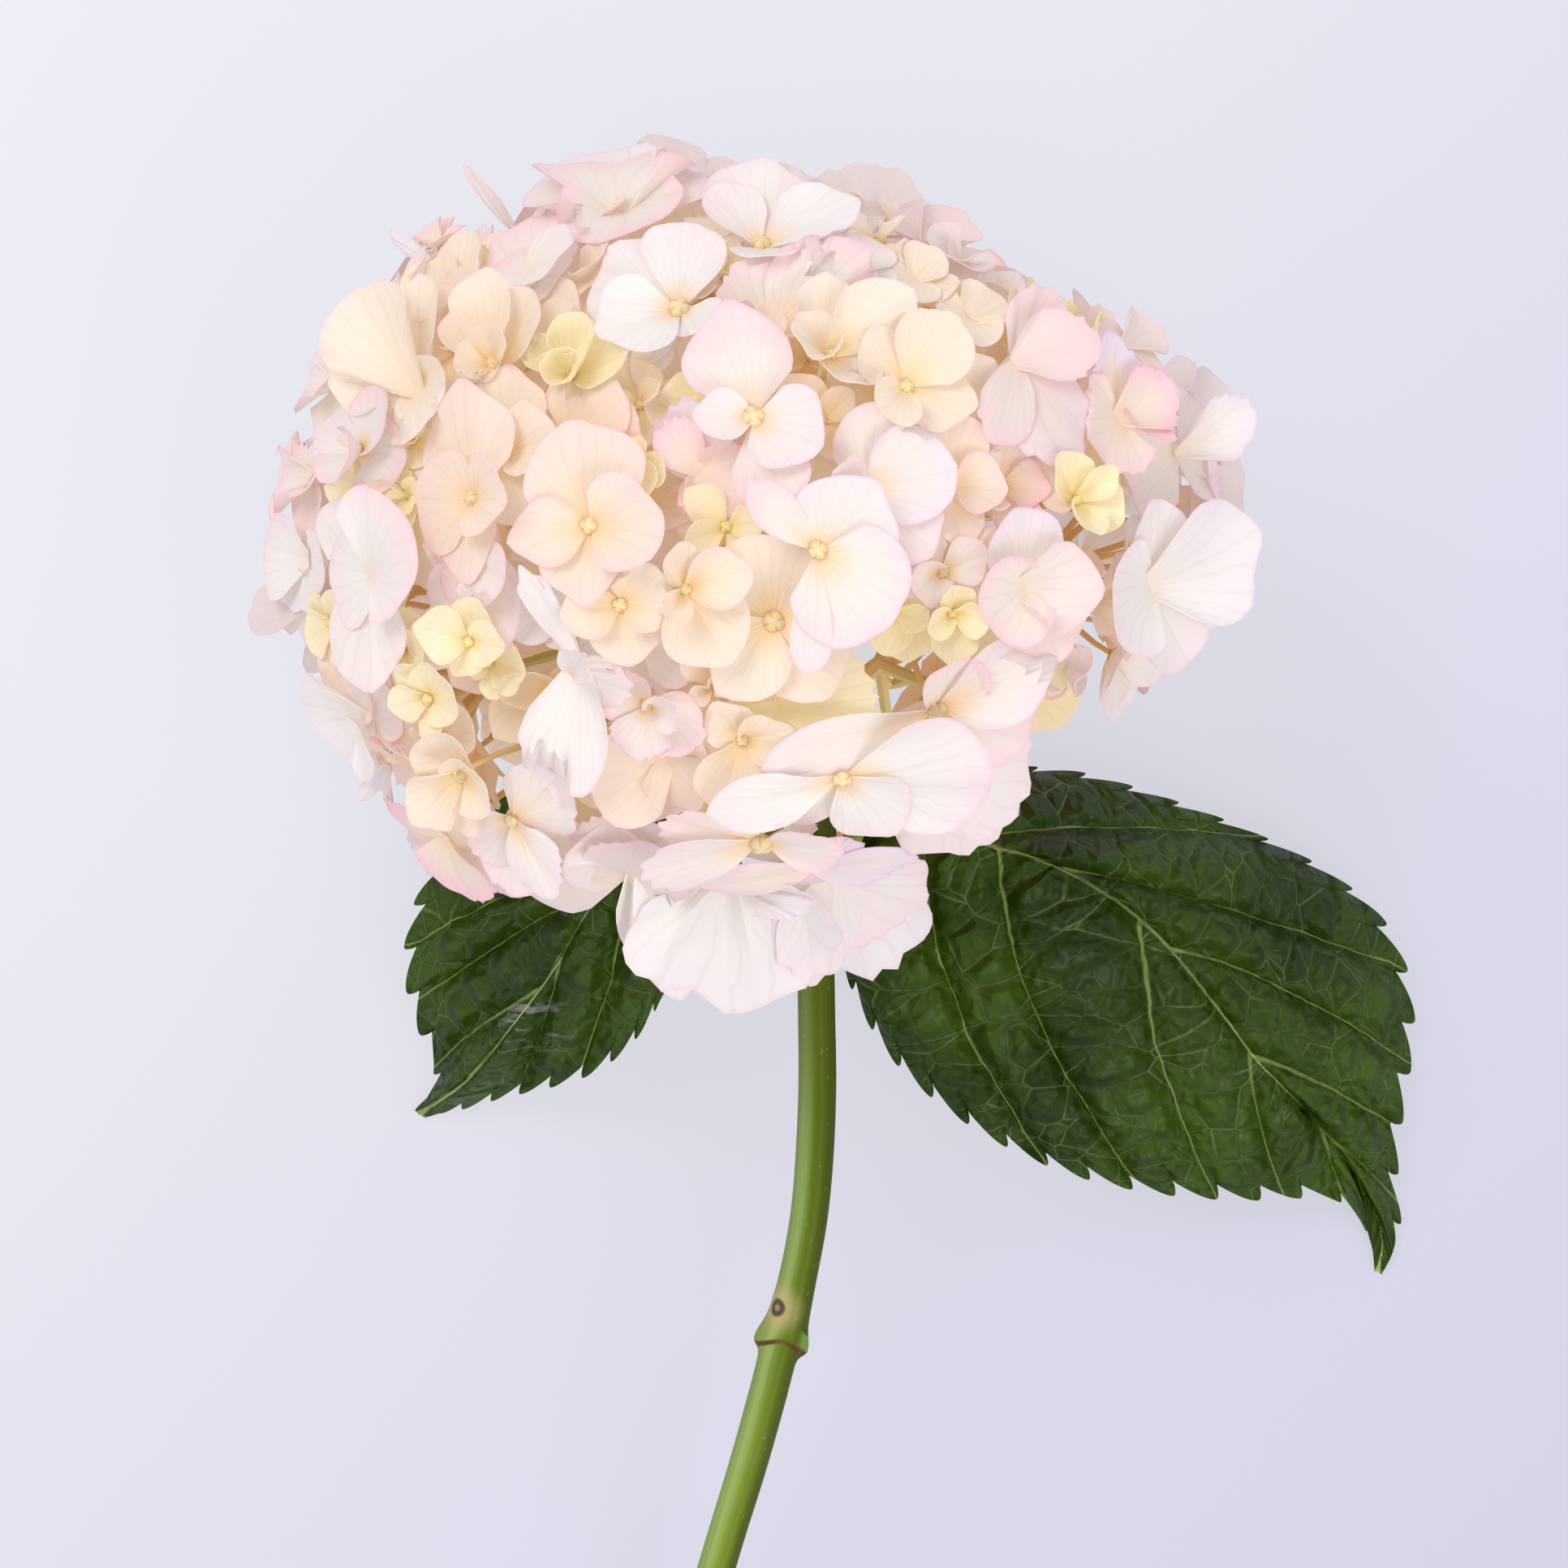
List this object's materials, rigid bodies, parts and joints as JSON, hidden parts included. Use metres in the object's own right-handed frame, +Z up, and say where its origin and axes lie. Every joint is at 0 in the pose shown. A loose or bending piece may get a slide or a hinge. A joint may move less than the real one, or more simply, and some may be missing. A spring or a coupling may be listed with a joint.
{
  "type": "cut hydrangea flower",
  "caption": "Mophead hydrangea cut with a long stem and a pair of toothed leaves, lying down: a loose round head of four-sepalled florets, cream to pale pink.",
  "frame": {"origin": "on the surface that the flower lies on, under the middle of its bounding box", "axes": "+Z up from the surface, +Y along the lying flower from the cut end to the head, +X to the side of the larger leaf"},
  "size_m": [0.2191, 0.394, 0.1448],
  "materials": {
    "stem": "smooth satin green stem with small pale spots",
    "leaf": "glossy dark green leaf, quilted between paler veins",
    "sepals": "soft matte petal, cream with pale pink edges"
  },
  "bodies": {
    "root": {"stem": "stem", "leaf_right": "leaf", "leaf_left": "leaf", "flower_head": "sepals"}
  },
  "joints": []
}
